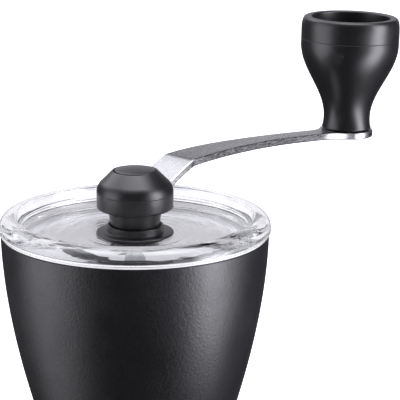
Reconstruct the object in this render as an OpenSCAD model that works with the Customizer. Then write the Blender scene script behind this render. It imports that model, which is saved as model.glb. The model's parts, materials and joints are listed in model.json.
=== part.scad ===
// Hand crank coffee grinder: a glass jar, a hopper with conical ceramic burrs, a clear lid and a cranked arm.
// The origin is at the centre of the foot's bottom face, +Z is up and the crank arm points along +X.

/* [Stand] */
// Height of the hopper's rim above the table
rim_z = 160; // [150:1:175]
// Outer radius of the clear lid
lid_r = 46; // [46:0.5:48]

/* [Hopper] */
// Outer radius of the hopper just under the lid
hopper_r = 45.45; // [45.2:0.05:45.6]
// Wall of the hopper shell
shell_wall = 2.4; // [2.2:0.1:2.6]
// Wall of the bean bowl
bowl_wall = 1.4; // [1.2:0.1:1.5]

/* [Jar] */
// Outer radius of the glass at its foot
jar_r = 43.2; // [42:0.1:43.5]
// Wall of the glass
glass_wall = 2.6; // [2.4:0.1:3]
// Rise of the screw thread in one turn
thread_pitch = 4; // [3.8:0.1:4.2]

/* [Crank] */
// Distance from the shaft to the knob's axis
crank_reach = 112; // [108:1:116]
// Thickness of the flat arm
arm_t = 2.5; // [2.2:0.1:2.8]
// Radius of the hub's round band
hub_r = 13; // [12.75:0.05:13.2]
// Outward lean of the knob, in degrees
knob_tilt = 1.8; // [0:0.1:2]

/* [Burrs] */
// Outer radius of the ring burr
burr_ring_r = 22.7; // [22.5:0.1:22.8]
// Number of teeth on each burr
burr_teeth = 14; // [10:1:16]
// Feature size: straight sides on a full circle
circle_sides = 96; // [48:12:144]

/* [Hidden] */
$fn = circle_sides;

fit = 0.05;            // radial running clearance
air = 0.3;             // clearance between shapes that must not touch
shaft_r = 4;
square_af = 6;         // across flats of the shaft's driving square
burr_square_af = 5.8;  // across flats of the square in the cone burr and the click plate
stud_r = 2.9;          // threaded end of the shaft
screw_r = 1.25;        // shank of the holder's screws
screw_circle_r = 26.5; // and how far they stand from the axis

// Heights of the lower parts, above the table
skirt_z = 46;          // bottom edge of the hopper's skirt
shaft_end_z = 49.4;
thread_z = 49.4;       // where the jar's thread starts
nut_z = 53;            // underside of the adjusting nut
plate_z = 61;          // underside of the click plate
square_z = 61.2;       // where the shaft's threaded end turns square
jar_rim_z = 58;        // top of the glass
deck_z = 60;           // ceiling inside the skirt
burr_z = 64;           // underside of the ring burr
burr_top_z = 84;       // top of the ring burr
burr_cone_top_z = 85;  // top of the cone burr
throat_z = 86;         // top of the throat that the beans fall through, and foot of the shaft's round part
cone_z = 98;           // where the bowl's wall turns into its cone
lower_bridge_z = 92;
upper_bridge_z = rim_z - 16;
foot_h = 7.2;          // low enough to leave the inside of the jar free
skirt_r = 40.8;
skirt_bore_r = 38;
neck_r = 36.2;         // glass neck, outside
throat_r = 19.5;
bowl_flange = 0.8;     // thickness of the bowl's flange on top of the shell

// Heights of the crank, above the hopper's rim
lid_floor = -1.3;      // top of the lid's sunk floor
flange_top = -0.4;
collar_bore_r = 8.75;  // the bush's collar around the hub's neck
seam_h = 13;           // joint line between the hub and its cap
boss_h = 17.2;         // top of the arm's round end
root_top = seam_h + arm_t;
cap_ceiling = 17.9;    // of the hollow in the cap
disc_floor = 19.1;     // bottom of the recess for the cap's disc
knob_h = 41.7;         // from here on, above the knob's foot
knob_part_h = 33.6;    // joint line between the knob and its sleeve
knob_floor_h = 13;
joint_h = 29.4;        // bottom of the socket that takes the sleeve
washer_t = 0.4;

// Radii of the knob
pin_r = 2.48;
knob_neck_r = 8.65;
lip_r = 18.2;
cup_r = 14.4;          // inside the sleeve
socket_r = 15.6;       // where the sleeve sits in the knob

// ---- outlines ----

function arc(cx, cy, r, a0, a1, n = 8) = [for (i = [0:n]) let (a = a0 + (a1 - a0) * i / n)
    [cx + r * cos(a), cy + r * sin(a)]];
function bezier(a, b, c, d, t) = pow(1 - t, 3) * a + 3 * t * pow(1 - t, 2) * b
    + 3 * t * t * (1 - t) * c + pow(t, 3) * d;
function reversed(list) = [for (i = [len(list) - 1:-1:0]) list[i]];

// Outer radius of the hopper at a depth below its rim: nearly upright at the top, then drawn in ever faster
function hopper_at(depth) = hopper_r - 0.0087 * pow(depth, 1.727);

// The same curve as a list of points, moved inwards, between two heights going down
function hopper_wall(inset, z0, z1, n = 14) = [for (i = [0:n]) let (z = z0 + (z1 - z0) * i / n)
    [hopper_at(rim_z - z) - inset, z]];

// The waist runs on from that curve and swings out to the skirt
waist_z0 = rim_z - 56;
waist_r0 = hopper_at(56);
brow = 2.8;            // rounding over the top of the skirt
brow_turn = 54;
brow_end = [skirt_r - brow * (1 - cos(brow_turn)), deck_z - 0.7 + brow * sin(brow_turn)];
function waist(n = 16) = concat([for (i = [1:n]) bezier([waist_r0, waist_z0], [waist_r0 - 4.9, waist_z0 - 17],
    brow_end + 14.3 * [-sin(brow_turn), cos(brow_turn)], brow_end, i / n)],
    arc(skirt_r - brow, deck_z - 0.7, brow, brow_turn - 9, 0, 5));

// Half width of the knob's bell at a height above its foot
bell_foot = 4.2;       // height where the bell starts to open
bell_rise = 27.5;      // and how much higher it is fully open
function knob_bell(h) = knob_neck_r
    + (lip_r - knob_neck_r) * (1 - cos(180 * min((h - bell_foot) / bell_rise, 1))) / 2;

module ring(r_out, r_in, z0, z1) {
    translate([0, 0, z0]) difference() {
        cylinder(r = r_out, h = z1 - z0);
        translate([0, 0, -1]) cylinder(r = r_in, h = z1 - z0 + 2);
    }
}

module square_bar(af, z0, z1) {
    translate([-af / 2, -af / 2, z0]) cube([af, af, z1 - z0]);
}

// A screw ridge that climbs around the Z axis; its foot is sunk into the wall it stands on
module thread_ridge(r_foot, r_tip, z0, turns, foot_w = 1.4, tip_w = 0.8, per_turn = 36) {
    count = round(turns * per_turn);
    rows = [for (i = [0:count]) let (a = 360 * i / per_turn, z = z0 + thread_pitch * i / per_turn)
        for (p = [[r_foot, -foot_w / 2], [r_tip, -tip_w / 2], [r_tip, tip_w / 2], [r_foot, foot_w / 2]])
            [p[0] * cos(a), p[0] * sin(a), z + p[1]]];
    outward = r_tip > r_foot;
    sides = [for (i = [0:count - 1], j = [0:3]) let (a = 4 * i + j, b = 4 * i + (j + 1) % 4)
        outward ? [a, b, b + 4, a + 4] : [a, a + 4, b + 4, b]];
    last = 4 * count;
    ends = outward ? [[3, 2, 1, 0], [last, last + 1, last + 2, last + 3]]
        : [[0, 1, 2, 3], [last + 3, last + 2, last + 1, last]];
    polyhedron(points = rows, faces = concat(sides, ends), convexity = 6);
}

// Three flat spokes at 60, 180 and 300 degrees
module spokes(width, reach, z0, z1) {
    for (a = [60, 180, 300]) rotate([0, 0, a]) translate([0, -width / 2, z0]) cube([reach, width, z1 - z0]);
}

// The three screws that hold the burr holder
module at_screws() {
    for (a = [0, 120, 240]) rotate([0, 0, a]) translate([screw_circle_r, 0, 0]) children();
}

// The crank's own frames: the rim's centre, and the knob's leaning axis
module at_rim() { translate([0, 0, rim_z]) children(); }
module at_boss() { translate([crank_reach, 0, boss_h]) rotate([0, knob_tilt, 0]) children(); }
module at_knob() { at_rim() at_boss() children(); }

// ---- jar ----

module jar() {
    inner = glass_wall;
    color([0.86, 0.93, 0.94, 0.45]) union() {
        rotate_extrude() polygon(concat(
            [[0, 2.6], [jar_r - 4.5, 2.6]],
            arc(jar_r - 3.5, 6.1, 3.5, -90, 0, 5),
            [[jar_r, 12]],
            arc(neck_r - 0.4 + 2.2, 38.4, 3, 12, 80, 6),
            [[neck_r, 42.5], [neck_r, jar_rim_z - 0.8]],
            arc(neck_r - 0.8, jar_rim_z - 0.8, 0.8, 0, 90, 3),
            arc(neck_r - inner + 0.8, jar_rim_z - 0.8, 0.8, 90, 180, 3),
            [[neck_r - inner, 43.5]],
            arc(neck_r - inner + 0.9, 38.4, 2.8, 80, 12, 4),
            [[jar_r - inner - 0.2, 12]],
            arc(jar_r - inner - 3.4, 9.6, 3.2, 0, -90, 5),
            [[0, 6.9]]));
        thread_ridge(neck_r - 0.4, neck_r + 1.3, thread_z, 1.1);
    }
}

module jar_foot() {
    wall_r = jar_r + 0.05;
    color([0.12, 0.12, 0.13]) rotate_extrude() polygon(concat(
        [[0, 0], [wall_r + 0.6, 0]],
        arc(wall_r + 0.6, 1.2, 1.2, -90, 0, 4),
        [[wall_r + 1.8, foot_h - 1]],
        arc(wall_r + 1, foot_h - 0.8, 0.8, 0, 90, 3),
        [[wall_r, foot_h], [wall_r, 6.1]],
        arc(wall_r - 3.55, 6.1, 3.55, 0, -90, 5),
        [[0, 2.55]]));
}

module jar_gasket() {
    color([0.80, 0.80, 0.78]) ring(skirt_bore_r - 0.4, neck_r - glass_wall - 0.6, jar_rim_z, deck_z);
}

// ---- hopper ----

module hopper_shell() {
    top_z = rim_z - bowl_flange - fit;
    color([0.13, 0.13, 0.14]) union() {
        difference() {
            rotate_extrude() polygon(concat(
                [[hopper_r - 0.4, top_z]],
                hopper_wall(0, top_z - 0.4, waist_z0),
                waist(),
                [[skirt_r, skirt_z + 0.8]],
                arc(skirt_r - 0.8, skirt_z + 0.8, 0.8, 0, -90, 4),
                [[skirt_bore_r, skirt_z], [skirt_bore_r, deck_z], [burr_ring_r + fit, deck_z],
                    [burr_ring_r + fit, burr_top_z], [throat_r + 1.8, burr_top_z], [throat_r + 1.8, throat_z]],
                reversed(hopper_wall(shell_wall, top_z, cone_z))));
            at_screws() translate([0, 0, deck_z - 1]) cylinder(r = screw_r + fit, h = 8);
        }
        thread_ridge(skirt_bore_r + 0.4, skirt_bore_r - 1.25, thread_z - thread_pitch / 2, 1);
    }
}

// The bowl hangs by a thin flange that covers the top of the shell
module bean_bowl() {
    outer = shell_wall + air;
    flange_r = hopper_r - 0.25;
    color([0.90, 0.90, 0.88]) rotate_extrude() polygon(concat(
        [[flange_r - 0.15, rim_z], [flange_r, rim_z - 0.15], [flange_r, rim_z - bowl_flange]],
        hopper_wall(outer, rim_z - bowl_flange, cone_z + 0.6),
        [[throat_r + 1.5, throat_z], [throat_r + 1.5, burr_top_z], [throat_r, burr_top_z],
            [throat_r, throat_z + 0.6]],
        reversed(hopper_wall(outer + bowl_wall, rim_z - 0.6, cone_z + 1.6)),
        [[hopper_r - outer - bowl_wall + 0.3, rim_z]]));
}

// The upper spider: a round boss whose three spokes end against the bowl's wall
module top_bridge() {
    z0 = upper_bridge_z;
    color([0.14, 0.14, 0.15]) difference() {
        union() {
            translate([0, 0, z0]) cylinder(r = 9, h = 7);
            intersection() {
                spokes(6, 44, z0 + 1, z0 + 6);
                rotate_extrude() polygon(concat([[0, z0]],
                    reversed(hopper_wall(shell_wall + air + bowl_wall + fit, z0 + 7, z0, 2)), [[0, z0 + 7]]));
            }
        }
        translate([0, 0, z0 - 1]) cylinder(r = 6, h = 9);
    }
}

module top_bush() {
    z0 = upper_bridge_z;
    color([0.85, 0.84, 0.80]) union() {
        ring(6, shaft_r + fit, z0, z0 + 7);
        ring(7.5, shaft_r + fit, z0 + 7, z0 + 8);
    }
}

module burr_bridge() {
    z0 = lower_bridge_z;
    bowl_r = hopper_at(rim_z - cone_z - 1.6) - shell_wall - air - bowl_wall;
    slope = (bowl_r - throat_r) / (cone_z + 1 - throat_z);
    reach = throat_r + slope * (z0 - throat_z - 0.6) - 0.2;
    color([0.14, 0.14, 0.15]) difference() {
        union() {
            translate([0, 0, z0]) cylinder(r = 8.5, h = 6);
            intersection() {
                spokes(5, 40, z0, z0 + 5);
                translate([0, 0, z0]) cylinder(r1 = reach, r2 = reach + 5 * slope, h = 5);
            }
        }
        translate([0, 0, z0 - 1]) cylinder(r = 5.5, h = 8);
    }
}

module burr_bush() {
    color([0.85, 0.84, 0.80]) union() {
        ring(5.5, shaft_r + fit, lower_bridge_z, lower_bridge_z + 6);
        ring(7, shaft_r + fit, lower_bridge_z + 6, lower_bridge_z + 7);
    }
}

module spring_washer() {
    color([0.75, 0.76, 0.78]) ring(9, shaft_r + 0.2, lower_bridge_z - 0.8, lower_bridge_z);
}

// ---- burrs ----

tooth_step = 360 / burr_teeth;

module outer_burr() {
    color([0.93, 0.92, 0.88]) difference() {
        rotate_extrude() polygon([[burr_ring_r, burr_z], [burr_ring_r, burr_top_z], [17.6, burr_top_z],
            [16.8, 74], [18.9, burr_z]]);
        for (i = [0:burr_teeth - 1]) rotate([0, 0, i * tooth_step]) translate([17, 0, burr_z + 10])
            rotate([-18, -6, 0]) translate([0, -0.9, -14]) cube([2.2, 1.8, 28]);
    }
}

module inner_burr() {
    color([0.93, 0.92, 0.88]) difference() {
        rotate_extrude() polygon([[0, 63], [17.6, 63], [18.3, 64], [16.2, 74], [9.5, burr_cone_top_z],
            [0, burr_cone_top_z]]);
        square_bar(burr_square_af + 2 * fit, 60, 90);
        for (i = [0:burr_teeth - 1]) rotate([0, 0, i * tooth_step]) translate([16.4, 0, 73])
            rotate([22, -11, 0]) translate([0, -1, -12]) cube([4, 2, 16]);
        for (i = [0:4]) rotate([0, 0, i * 72]) translate([13.6, 0, 80])
            rotate([30, -31, 0]) translate([-0.8, -1.4, -9]) cube([6, 2.8, 18]);
    }
}

module burr_holder() {
    color([0.16, 0.16, 0.17]) difference() {
        union() {
            ring(30, 19.4, deck_z - 3, deck_z);
            ring(burr_ring_r, 19.4, deck_z, burr_z);
        }
        at_screws() translate([0, 0, deck_z - 4]) cylinder(r = screw_r + 0.35, h = 5);
    }
}

module holder_screws() {
    color([0.78, 0.79, 0.80]) at_screws() difference() {
        union() {
            translate([0, 0, deck_z - 4.6]) cylinder(r = 2.6, h = 1.6, $fn = 48);
            translate([0, 0, deck_z - 3]) cylinder(r = screw_r, h = 9, $fn = 48);
        }
        for (q = [0, 90]) rotate([0, 0, q]) translate([-1.7, -0.3, deck_z - 5]) cube([3.4, 0.6, 1.3]);
    }
}

// ---- shaft and grind adjustment ----

module drive_shaft() {
    color([0.72, 0.73, 0.75]) union() {
        square_bar(square_af, rim_z - 2, rim_z + 8);
        difference() {
            translate([0, 0, throat_z]) cylinder(r = shaft_r, h = rim_z - 2 - throat_z);
            ring(shaft_r + 1, 3.3, upper_bridge_z + 8.2, upper_bridge_z + 9.1);
        }
        square_bar(burr_square_af, square_z, throat_z);
        translate([0, 0, shaft_end_z + 0.6]) cylinder(r = stud_r, h = square_z - shaft_end_z - 0.6);
        translate([0, 0, shaft_end_z]) cylinder(r1 = stud_r - 0.6, r2 = stud_r, h = 0.6);
    }
}

module shaft_clip() {
    z0 = upper_bridge_z + 8.25;
    color([0.70, 0.71, 0.72]) difference() {
        ring(6.2, 3.32, z0, z0 + 0.8);
        translate([-2.4, -8, z0 - 1]) cube([4.8, 8, 3]);
    }
}

module burr_spring() {
    r = 7.4;
    wire = 0.55;
    z0 = burr_cone_top_z + wire + 0.05;
    rise = lower_bridge_z - 0.85 - wire - z0;
    turns = 3.5;
    steps = 14;
    sides = 6;
    count = turns * steps;
    rows = [for (i = [0:count]) let (a = 360 * i / steps) for (k = [0:sides - 1]) let (b = 360 * k / sides,
        q = r + wire * cos(b)) [q * cos(a), q * sin(a), z0 + rise * i / count + wire * sin(b)]];
    skin = [for (i = [0:count - 1], k = [0:sides - 1]) let (n = (k + 1) % sides)
        [i * sides + k, i * sides + n, (i + 1) * sides + n, (i + 1) * sides + k]];
    caps = [[for (k = [sides - 1:-1:0]) k], [for (k = [0:sides - 1]) count * sides + k]];
    color([0.75, 0.76, 0.78]) polyhedron(points = rows, faces = concat(skin, caps), convexity = 8);
}

module click_plate() {
    color([0.20, 0.20, 0.21]) difference() {
        translate([0, 0, plate_z]) cylinder(r = 9, h = 2);
        square_bar(burr_square_af + 2 * fit, plate_z - 1, plate_z + 3);
        for (i = [0:11]) rotate([0, 0, i * 30]) translate([7.6, -0.5, plate_z - 0.5]) cube([3, 1, 1.2]);
    }
}

module adjust_nut() {
    color([0.16, 0.16, 0.17]) difference() {
        union() {
            translate([0, 0, nut_z]) cylinder(r = 7.4, h = plate_z - nut_z);
            for (i = [0:5]) rotate([0, 0, i * 60])
                translate([7.2, 0, nut_z]) cylinder(r = 2.6, h = 5.6, $fn = 32);
        }
        translate([0, 0, nut_z - 1]) cylinder(r = stud_r + fit, h = 10);
    }
}

// ---- lid ----

module lid() {
    floor_t = 2;
    hole_r = 7.2 + fit;
    color([0.92, 0.96, 0.97, 0.35]) at_rim() rotate_extrude() polygon(concat(
        [[hole_r, lid_floor], [hole_r, lid_floor - floor_t], [38, lid_floor - floor_t], [38.3, -6],
            [40.2, -6], [40.2, 0], [lid_r - 0.3, 0], [lid_r, 0.3], [lid_r, 1.9]],
        arc(lid_r - 2, 1.9, 2, 0, 52, 4),
        arc(lid_r - 4.6, 0.3, 5.3, 52, 92, 5),
        arc(40.7, 5.05, 0.6, 100, 175, 3),
        [[39.5, 2.4], [39.1, 2], [38.5, -0.7], [37.9, lid_floor]]));
}

module lid_bush() {
    color([0.11, 0.11, 0.12]) at_rim() rotate_extrude() polygon(concat(
        [[shaft_r + 1, -5.2], [7, -5.2], [7.2, -5], [7.2, lid_floor], [12.8, lid_floor]],
        arc(12.75, lid_floor + 0.45, 0.4, -90, 90, 6),
        [[9.6, flange_top]],
        arc(9.2, 1.6, 0.4, 0, 90, 3),
        [[collar_bore_r + 0.2, 2], [collar_bore_r, 1.8], [collar_bore_r, flange_top],
            [shaft_r + 1, flange_top]]));
}

module bush_ring() {
    color([0.11, 0.11, 0.12]) at_rim() ring(9.6, 7.22, -4.6, -3.5);
}

// ---- crank ----

module crank_hub() {
    color([0.12, 0.12, 0.13]) at_rim() difference() {
        rotate_extrude() polygon(concat(
            [[0, flange_top + fit], [7.9, flange_top + fit], [8.1, -0.15], [9.1, 7.5], [hub_r - 1, 7.5]],
            arc(hub_r - 1, 8.5, 1, -90, 0, 5),
            [[hub_r, seam_h], [0, seam_h]]));
        square_bar(square_af + 2 * fit, -1, 8.6);
        translate([0, 0, 8.5]) cylinder(r = 1.6, h = seam_h - 7.5);
    }
}

module hub_screw() {
    color([0.74, 0.75, 0.77]) at_rim() difference() {
        union() {
            translate([0, 0, 8.8]) cylinder(r = 1.58, h = root_top - 8.7);
            translate([0, 0, root_top]) cylinder(r = 3.6, h = 2);
        }
        translate([0, 0, root_top + 0.8]) cylinder(r = 1.5, h = 2, $fn = 6);
    }
}

// Middle line of the arm's top face: flat root, ramp, a crease, then one long crown down to the round end
crease = [21.7, 21.65];
ramp = [[8.6, root_top], [11, root_top + 0.7], [16, 19.6], crease];
crown = [crease, [33, 22.5], [58, 22.6], [crank_reach - 9, boss_h + 0.4]];
skin = 0.05;            // the round ends stand this much proud of the bar, or within it
ramp_steps = 8;
arm_steps = 26;
arm_top = concat([[-6.5, root_top]],
    [for (i = [0:ramp_steps]) bezier(ramp[0], ramp[1], ramp[2], ramp[3], i / ramp_steps)],
    [for (i = [1:arm_steps]) bezier(crown[0], crown[1], crown[2], crown[3], i / arm_steps)],
    [for (x = [-5, 3]) [crank_reach + x, boss_h - skin - x * tan(knob_tilt)]]);
function unit(v) = v / norm(v);
function below(list, i) = let (d = unit(list[min(i + 1, len(list) - 1)] - list[max(i - 1, 0)]))
    list[i] + arm_t * [d[1], -d[0]];
arm_bottom = [for (i = [len(arm_top) - 1:-1:0]) below(arm_top, i)];

// Plan of the arm: it narrows from the hub to the middle and swells into the round end
boss_r = 9.9;
waist_half = 4.1;
root_half = 6.7;
fillet_r = 22;
sunk = 0.15;           // the fillet ends a little inside the round end
fillet_x = crank_reach - sqrt(pow(boss_r - sunk + fillet_r, 2) - pow(waist_half + fillet_r, 2));
meet = atan2(waist_half + fillet_r, crank_reach - fillet_x);
function arm_half(x) = waist_half + (root_half - waist_half) * (1 + cos(180 * (x - 14) / 66)) / 2;
arm_edge = concat([[2, 5.9], [8, 6.5], [14, root_half]], [for (x = [20:6:80]) [x, arm_half(x)]],
    arc(fillet_x, waist_half + fillet_r, fillet_r, -90, -meet, 8), [[crank_reach, 4]]);

module crank_arm() {
    color([0.80, 0.81, 0.82]) at_rim() difference() {
        union() {
            intersection() {
                translate([0, 20, 0]) rotate([90, 0, 0]) linear_extrude(40)
                    polygon(concat(arm_top, arm_bottom));
                linear_extrude(40) polygon(concat(arm_edge, [for (p = reversed(arm_edge)) [p[0], -p[1]]]));
            }
            translate([0, 0, seam_h + skin]) cylinder(r = root_half, h = arm_t - 2 * skin);
            at_boss() translate([0, 0, -arm_t - 2 * skin]) cylinder(r = boss_r, h = arm_t + 2 * skin);
        }
        translate([0, 0, seam_h - 1]) cylinder(r = 1.62, h = 6);
        at_boss() translate([0, 0, -5]) cylinder(r = pin_r + 0.02, h = 10);
    }
}

// The cap is a rounded shoulder and a cone around a sunk disc; the arm leaves through a slot
module hub_cap() {
    shoulder = 5;
    turn = 52;
    color([0.12, 0.12, 0.13]) at_rim() difference() {
        rotate_extrude() polygon(concat(
            [[10.4, seam_h], [hub_r, seam_h]],
            arc(hub_r - shoulder, seam_h + 0.3, shoulder, 0, turn, 8),
            [[7.4, 20.65], [7.25, 20.5], [7.25, disc_floor], [0, disc_floor], [0, cap_ceiling],
                [6.6, cap_ceiling], [10.4, 14.4]]));
        translate([0, root_half + 0.1, 0]) rotate([90, 0, 0]) linear_extrude(2 * root_half + 0.2)
            polygon([[6, seam_h - 1], [6, root_top + 0.15], [8.6, root_top + 0.15], [10.9, 16.7], [14.5, 18.6],
                [14.5, 15.4], [12, 14.05], [9.4, seam_h - fit], [9.4, seam_h - 1]]);
    }
}

module cap_disc() {
    color([0.15, 0.15, 0.16]) at_rim() rotate_extrude() polygon(concat(
        [[0, disc_floor], [7, disc_floor], [7, disc_floor + 1.6]],
        arc(6.8, disc_floor + 1.6, 0.2, 0, 70, 2),
        [for (r = [5.5, 4, 2, 0]) [r, disc_floor + 1.8 + 0.75 * (1 - r * r / 46)]]));
}

// ---- knob ----

module knob_pin() {
    color([0.74, 0.75, 0.77]) at_knob() union() {
        translate([0, 0, -arm_t - 1.1]) cylinder(r = 3.8, h = 1);
        translate([0, 0, -arm_t - 0.2]) cylinder(r = pin_r, h = arm_t + washer_t + knob_floor_h + 0.5);
        translate([0, 0, washer_t + knob_floor_h + 0.3]) cylinder(r = 4.4, h = 1.5);
        translate([0, 0, washer_t + knob_floor_h + 1.8]) cylinder(r1 = 4.4, r2 = 3.4, h = 0.7);
    }
}

module knob_washer() {
    color([0.85, 0.84, 0.80]) at_knob() ring(5, 2.5, 0, washer_t - 0.05);
}

module knob() {
    wall = 2.4;
    color([0.11, 0.11, 0.12]) at_knob() translate([0, 0, washer_t]) rotate_extrude() polygon(concat(
        [[pin_r + fit, 0], [knob_neck_r + 0.15, 0], [knob_neck_r + 0.5, 0.35]],
        [for (h = [1.4, 2.8, bell_foot]) [knob_neck_r + 0.5 * pow((bell_foot - h) / bell_foot, 2), h]],
        [for (h = [6.2:2:30.2]) [knob_bell(h), h]],
        [[lip_r, bell_foot + bell_rise], [lip_r, knob_part_h], [socket_r, knob_part_h], [socket_r, joint_h]],
        [for (h = [joint_h:-2:17.4]) [min(knob_bell(h) - wall, cup_r), h]],
        [[7.6, 14.4], [6.6, knob_floor_h], [pin_r + fit, knob_floor_h]]));
}

module knob_sleeve() {
    color([0.12, 0.12, 0.13]) at_knob() translate([0, 0, washer_t]) rotate_extrude() polygon(concat(
        [[socket_r - fit, joint_h + fit], [socket_r - fit, knob_part_h], [lip_r, knob_part_h], [lip_r, 37]],
        arc(14.9, 38.2, 3.35, -5, 62, 6),
        [[15.6, knob_h]],
        arc(15.2, knob_h - 0.65, 0.65, 90, 180, 4),
        [[cup_r, 37], [cup_r, joint_h + fit]]));
}

jar();
jar_foot();
jar_gasket();
hopper_shell();
bean_bowl();
top_bridge();
top_bush();
burr_bridge();
burr_bush();
spring_washer();
outer_burr();
burr_holder();
holder_screws();
drive_shaft();
shaft_clip();
inner_burr();
burr_spring();
click_plate();
adjust_nut();
lid();
lid_bush();
bush_ring();
crank_hub();
hub_screw();
crank_arm();
hub_cap();
cap_disc();
knob_pin();
knob_washer();
knob();
knob_sleeve();
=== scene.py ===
import json
import math

import bmesh
import bpy
from mathutils import Matrix, Vector


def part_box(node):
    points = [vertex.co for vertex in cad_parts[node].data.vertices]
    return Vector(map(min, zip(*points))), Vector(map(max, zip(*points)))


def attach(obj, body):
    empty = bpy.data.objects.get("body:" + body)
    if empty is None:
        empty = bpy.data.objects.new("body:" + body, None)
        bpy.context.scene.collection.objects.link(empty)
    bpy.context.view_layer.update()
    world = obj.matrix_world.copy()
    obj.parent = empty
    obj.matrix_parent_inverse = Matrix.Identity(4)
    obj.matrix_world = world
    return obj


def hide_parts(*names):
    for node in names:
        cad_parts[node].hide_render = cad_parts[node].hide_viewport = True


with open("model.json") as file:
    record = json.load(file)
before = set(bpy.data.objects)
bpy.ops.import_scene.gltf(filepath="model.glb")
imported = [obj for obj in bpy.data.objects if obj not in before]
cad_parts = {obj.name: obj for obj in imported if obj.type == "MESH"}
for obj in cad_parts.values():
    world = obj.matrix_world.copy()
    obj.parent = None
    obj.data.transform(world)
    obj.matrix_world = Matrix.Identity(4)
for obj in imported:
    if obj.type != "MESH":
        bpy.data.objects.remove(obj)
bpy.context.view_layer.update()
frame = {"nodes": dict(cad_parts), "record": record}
mm = 0.001


def low(node):
    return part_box(node)[0]


def high(node):
    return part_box(node)[1]


rimZ = low("lid_bush").z + 5.2 * mm  # the lid sits on the hopper at this height
rimMm = rimZ / mm
print("frame loaded, rim at", round(rimMm, 2), "mm")


# Camera

cameraSettings = {
    "distance": 0.7,       # from the middle of the lid
    "elevation": 15.49,
    "beside": 45.0,        # the crank points this far away from the picture plane
    "pan": 1.80,           # the lid sits left of the middle
    "rise": 0.815,         # and below it
    "roll": -0.18,
    "lens": 185.85,
}


def makeCamera(s):
    data = bpy.data.cameras.new("camera")
    data.lens = s["lens"]
    data.sensor_width = 36
    data.clip_start = 0.01
    data.clip_end = 50
    cam = bpy.data.objects.new("camera", data)
    bpy.context.collection.objects.link(cam)
    e, a = math.radians(s["elevation"]), math.radians(s["beside"])
    back = Vector((-math.sin(a) * math.cos(e), -math.cos(a) * math.cos(e), math.sin(e)))
    cam.location = Vector((0, 0, rimZ)) + back * s["distance"]
    turn = (-back).to_track_quat("-Z", "Y").to_matrix()
    turn = turn @ Matrix.Rotation(math.radians(s["roll"]), 3, "Z")
    turn = turn @ Matrix.Rotation(math.radians(-s["pan"]), 3, "Y")
    turn = turn @ Matrix.Rotation(math.radians(s["rise"]), 3, "X")
    cam.rotation_mode = "QUATERNION"
    cam.rotation_quaternion = turn.to_quaternion()
    bpy.context.scene.camera = cam


makeCamera(cameraSettings)
print("camera set")


# Node helpers

# Short ways to add and link nodes
class Tree:
    def __init__(self, nodeTree):
        self.tree = nodeTree

    def add(self, kind, ins=None, **props):
        node = self.tree.nodes.new(kind)
        for key, value in props.items():
            setattr(node, key, value)
        for key, value in (ins or {}).items():
            if isinstance(value, bpy.types.NodeSocket):
                self.tree.links.new(value, node.inputs[key])
            else:
                node.inputs[key].default_value = value
        return node

    def math(self, op, a, b=0.0):
        return self.add("ShaderNodeMath", {0: a, 1: b}, operation=op).outputs[0]

    def noise(self, vector, scale, detail=3.0, rough=0.5):
        ins = {"Vector": vector, "Scale": scale, "Detail": detail, "Roughness": rough}
        return self.add("ShaderNodeTexNoise", ins).outputs[0]

    def ramp(self, value, lowIn, highIn, lowOut, highOut):
        ins = {"Value": value, "From Min": lowIn, "From Max": highIn, "To Min": lowOut, "To Max": highOut}
        return self.add("ShaderNodeMapRange", ins).outputs[0]


def newGroup(name, inputs, outputs):
    group = bpy.data.node_groups.new(name, "ShaderNodeTree")
    for label, kind, value in inputs:
        socket = group.interface.new_socket(label, in_out="INPUT", socket_type=kind)
        if value is not None:
            socket.default_value = value
    for label, kind in outputs:
        group.interface.new_socket(label, in_out="OUTPUT", socket_type=kind)
    t = Tree(group)
    return group, t, t.add("NodeGroupInput").outputs, t.add("NodeGroupOutput")


floatSocket, vectorSocket = "NodeSocketFloat", "NodeSocketVector"


# Fine moulded grain: a height for bump and a speckle for the colour
def makeGrain():
    group, t, g, out = newGroup("mouldedGrain", [
        ("Vector", vectorSocket, None), ("Grain Size", floatSocket, 0.0005),
        ("Patch Size", floatSocket, 0.02)],
        [("Height", floatSocket), ("Speckle", floatSocket), ("Patches", floatSocket)])
    scale = t.math("DIVIDE", 1.0, g["Grain Size"])
    fine = t.noise(g["Vector"], scale, 2.0, 0.6)
    coarse = t.noise(g["Vector"], t.math("MULTIPLY", scale, 0.37), 2.0, 0.5)
    t.tree.links.new(t.math("ADD", t.math("MULTIPLY", fine, 0.65), t.math("MULTIPLY", coarse, 0.35)),
                     out.inputs["Height"])
    t.tree.links.new(t.ramp(fine, 0.35, 0.7, 0.0, 1.0), out.inputs["Speckle"])
    patches = t.noise(g["Vector"], t.math("DIVIDE", 1.0, g["Patch Size"]), 4.0, 0.6)
    t.tree.links.new(t.ramp(patches, 0.35, 0.65, 0.0, 1.0), out.inputs["Patches"])
    return group


# Lathe marks: rings that run round the Z axis, with a little wander
def makeRings():
    group, t, g, out = newGroup("turnedRings", [
        ("Vector", vectorSocket, None), ("Ring Size", floatSocket, 0.0003)],
        [("Height", floatSocket), ("Streaks", floatSocket)])
    parts = t.add("ShaderNodeSeparateXYZ", {0: g["Vector"]}).outputs
    radius = t.math("SQRT", t.math("ADD", t.math("MULTIPLY", parts[0], parts[0]),
                                   t.math("MULTIPLY", parts[1], parts[1])))
    flat = t.add("ShaderNodeCombineXYZ", {0: radius, 1: parts[2], 2: 0.0}).outputs[0]
    scale = t.math("DIVIDE", 1.0, g["Ring Size"])
    rings = t.noise(flat, scale, 2.0, 0.7)
    t.tree.links.new(rings, out.inputs["Height"])
    t.tree.links.new(t.ramp(rings, 0.3, 0.7, 0.0, 1.0), out.inputs["Streaks"])
    return group


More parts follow.
